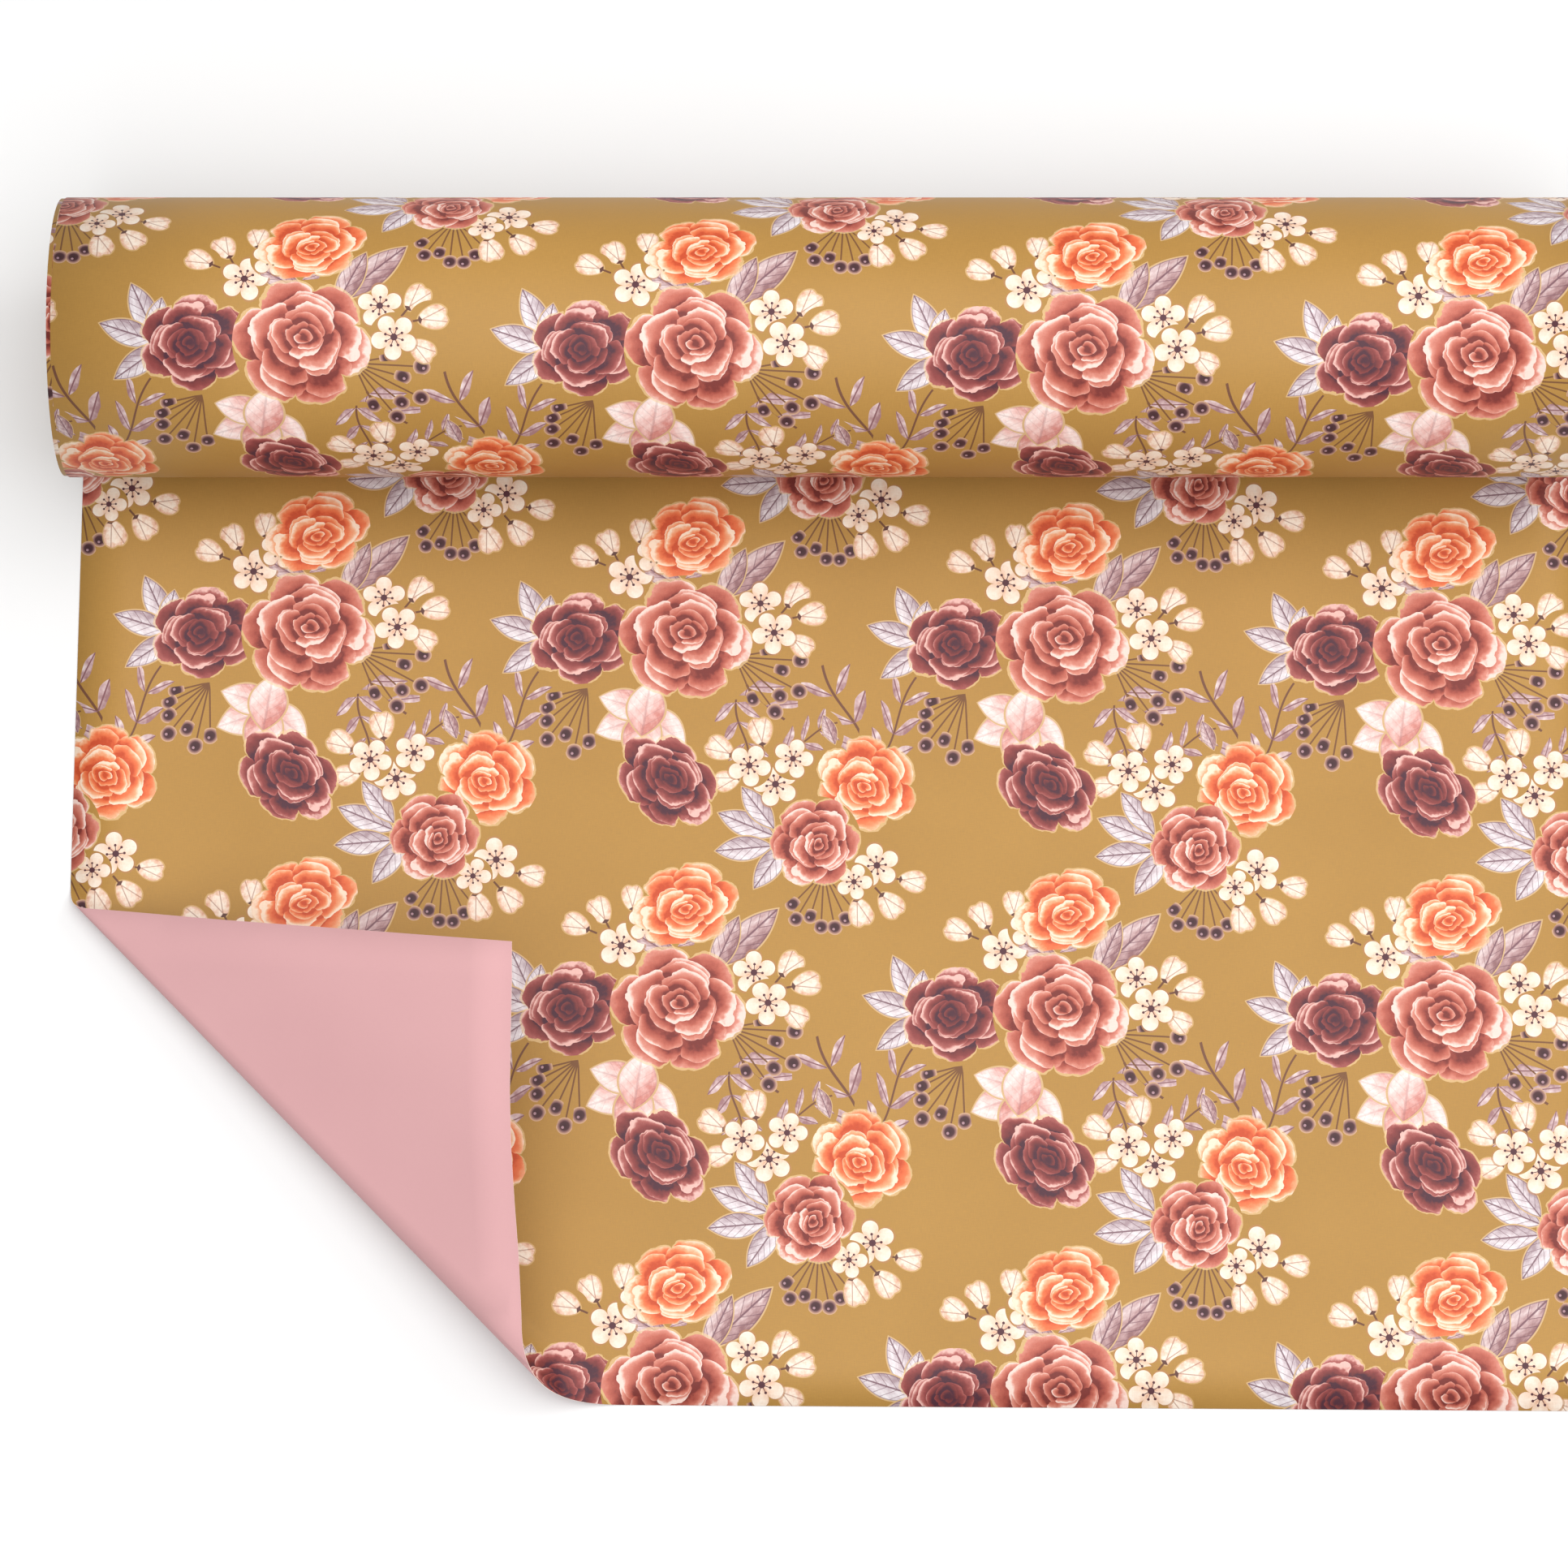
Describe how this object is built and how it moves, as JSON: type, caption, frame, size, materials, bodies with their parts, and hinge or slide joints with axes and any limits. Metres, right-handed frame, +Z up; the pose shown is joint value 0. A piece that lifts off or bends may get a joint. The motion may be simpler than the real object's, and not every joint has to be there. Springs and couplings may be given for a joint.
{
  "type": "wrapping paper roll",
  "caption": "Counter roll of floral gift-wrapping paper on a board core, with a flat free sheet in front and one corner folded over to show the plain reverse.",
  "frame": {"origin": "on the table, straight below the middle of the roll's axis", "axes": "+X along the roll, +Y away from the free sheet's cut edge, +Z up"},
  "size_m": [0.7022, 0.5485, 0.1286],
  "materials": {
    "printed_paper": "satin",
    "core_board": "matte",
    "core_kraft": "matte",
    "start_tape": "satin"
  },
  "bodies": {
    "loose_web": {"free_sheet": "printed_paper", "turned_back_web": "printed_paper", "corner_curl": "printed_paper"},
    "roll": {"core_inner_liner": "core_kraft", "core_board_ply_1": "core_board", "core_board_ply_2": "core_board", "core_board_ply_3": "core_board", "core_board_ply_4": "core_board", "core_board_ply_5": "core_board", "core_outer_ply": "core_kraft", "start_tape": "start_tape", "wound_web": "printed_paper", "outer_wrap": "printed_paper"},
    "turned_corner": {"corner_flap": "printed_paper"}
  },
  "joints": [
    {"name": "roll_turn", "type": "hinge", "parent": "loose_web", "child": "roll", "pos_m": [0, 0, 0.0646], "axis": [1, 0, 0], "continuous": true},
    {"name": "corner_fold", "type": "hinge", "parent": "loose_web", "child": "turned_corner", "pos_m": [-0.437, -0.161, 0], "axis": [0.7306, -0.6813, 0.0464], "range_deg": [0, 145]}
  ]
}
